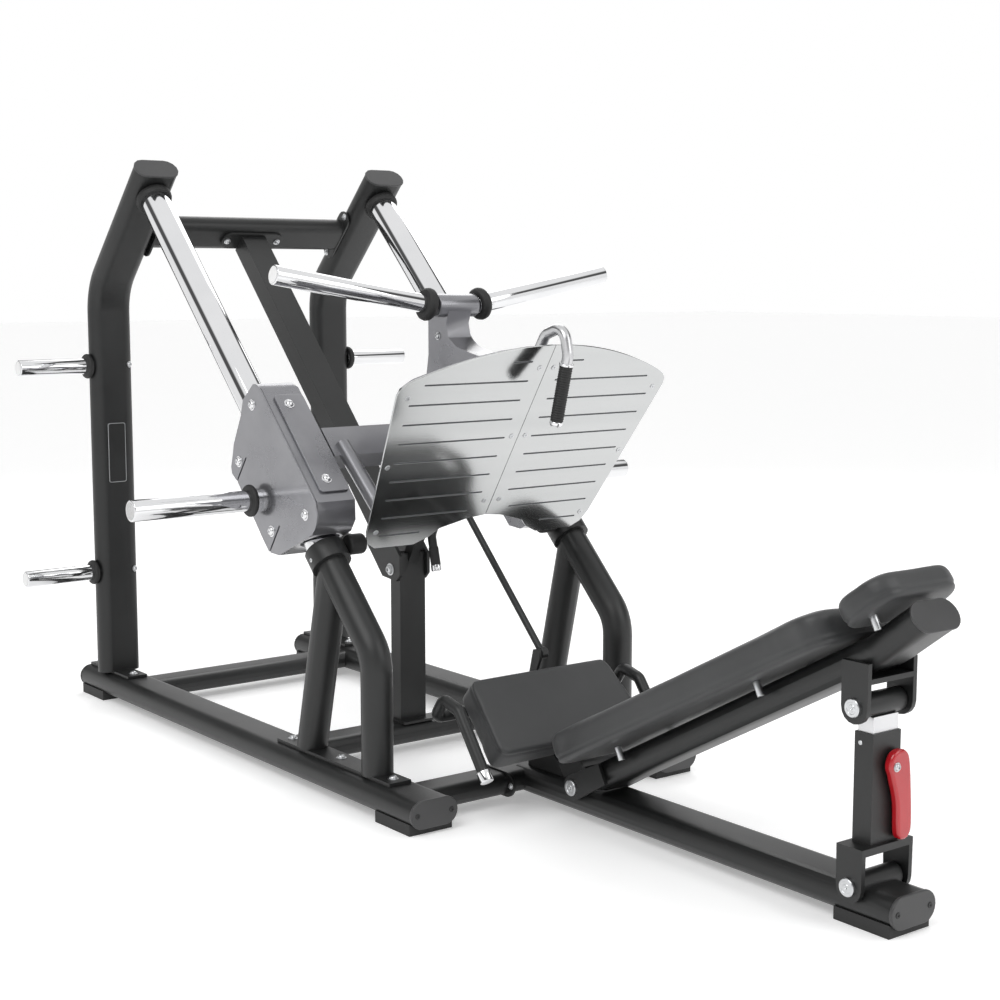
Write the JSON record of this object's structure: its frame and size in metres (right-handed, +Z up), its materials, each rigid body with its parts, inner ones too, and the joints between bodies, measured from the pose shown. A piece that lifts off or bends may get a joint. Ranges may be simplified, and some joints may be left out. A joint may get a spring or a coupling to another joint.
{
  "type": "leg press machine",
  "caption": "Plate-loaded 45 degree leg press: black steel frame, sliding weight carriage with foot plate, safety release handles, seat and adjustable backrest.",
  "frame": {"origin": "on the floor below the middle of the overall box", "axes": "+X from the weight rack to the seat end, +Y to the right side, +Z up"},
  "size_m": [2.7231, 1.476, 1.4857],
  "materials": {
    "frame_black": "fine-texture satin black powder coat",
    "carriage_silver": "glossy metallic silver-grey paint",
    "chrome": "polished",
    "stainless": "finely brushed, nearly mirror bright",
    "strut_brushed": "brushed",
    "rubber": "matte",
    "cap_plastic": "matte",
    "pad_vinyl": "charcoal grained vinyl, satin",
    "zinc": "zinc plated",
    "lever_red": "glossy dipped plastic"
  },
  "bodies": {
    "root": {"aframe_left": "frame_black", "aframe_right": "frame_black", "bumper_left": "rubber", "bumper_right": "rubber", "centre_post": "frame_black", "cross_tube_front_left": "frame_black", "cross_tube_front_right": "frame_black", "cross_tube_middle": "frame_black", "cross_tube_rear": "frame_black", "foot_front_left": "rubber", "foot_front_right": "rubber", "foot_rear_left": "rubber", "foot_rear_right": "rubber", "foot_seat_beam": "rubber", "guide_rod_left": "chrome", "guide_rod_right": "chrome", "rail_cap_left": "cap_plastic", "rail_cap_right": "cap_plastic", "rail_left": "frame_black", "rail_right": "frame_black", "seat_beam": "frame_black", "seat_beam_cap": "cap_plastic", "seat_bracket": "frame_black", "seat_pad": "pad_vinyl", "spine_beam": "frame_black", "storage_horn_lower_left": "chrome", "storage_horn_lower_right": "chrome", "storage_horn_upper_left": "chrome", "storage_horn_upper_right": "chrome", "top_cross_tube": "frame_black", "upright_cap_left": "cap_plastic", "upright_cap_right": "cap_plastic", "upright_left": "frame_black", "upright_right": "frame_black"},
    "carriage": {"bearing_left": "zinc", "bearing_right": "zinc", "carriage_box_left": "carriage_silver", "carriage_box_right": "carriage_silver", "carriage_frame": "carriage_silver", "carriage_horn_left": "chrome", "carriage_horn_right": "chrome", "foot_skin_left": "stainless", "foot_skin_right": "stainless", "plate_handle": "chrome", "top_horn_left": "chrome", "top_horn_right": "chrome", "top_hub": "carriage_silver"},
    "release_shaft": {"release_handles": "chrome"},
    "link": {"link_rod": "frame_black"},
    "catch": {"catch_lever": "frame_black"},
    "backrest": {"back_beam": "frame_black", "back_beam_cap": "cap_plastic", "back_pad": "pad_vinyl", "head_pad": "pad_vinyl", "back_pin": "zinc"},
    "strut_outer": {"strut_outer": "frame_black", "strut_pin": "zinc"},
    "strut_inner": {"strut_inner": "strut_brushed"},
    "strut_lever": {"strut_lever": "lever_red"}
  },
  "joints": [
    {"name": "carriage_travel", "type": "slide", "parent": "root", "child": "carriage", "axis": [-0.7071, 0, 0.7071], "range_m": [0, 0.65]},
    {"name": "release_turn", "type": "hinge", "parent": "root", "child": "release_shaft", "pos_m": [0.1864, 0, 0.215], "axis": [0, 1, 0], "range_deg": [-25, 0]},
    {"name": "link_swing", "type": "hinge", "parent": "release_shaft", "child": "link", "pos_m": [0.1764, 0.05, 0.318], "axis": [0, 1, 0], "range_deg": [0, 25]},
    {"name": "catch_turn", "type": "hinge", "parent": "root", "child": "catch", "pos_m": [-0.2136, 0.037, 0.618], "axis": [0, 1, 0], "range_deg": [-25, 0]},
    {"name": "backrest_tilt", "type": "hinge", "parent": "root", "child": "backrest", "pos_m": [0.4314, 0, 0.078], "axis": [0, -1, 0], "range_deg": [0, 10]},
    {"name": "strut_lean", "type": "hinge", "parent": "root", "child": "strut_outer", "pos_m": [1.2194, 0, 0.078], "axis": [0, -1, 0], "range_deg": [0, 9]},
    {"name": "strut_extend", "type": "slide", "parent": "strut_outer", "child": "strut_inner", "axis": [0, 0, 1], "range_m": [0, 0.14]},
    {"name": "lever_turn", "type": "hinge", "parent": "strut_outer", "child": "strut_lever", "pos_m": [1.2534, 0.004, 0.3], "axis": [1, 0, 0], "range_deg": [0, 25], "stiffness_Nm_per_rad": 1}
  ],
  "couplings": [
    {"joint": "link_swing", "follows": "release_turn", "ratio": -1},
    {"joint": "catch_turn", "follows": "release_turn", "ratio": 1},
    {"joint": "strut_lean", "follows": "backrest_tilt", "ratio": 0.87},
    {"joint": "strut_extend", "follows": "backrest_tilt", "m_per_rad": 0.785}
  ]
}
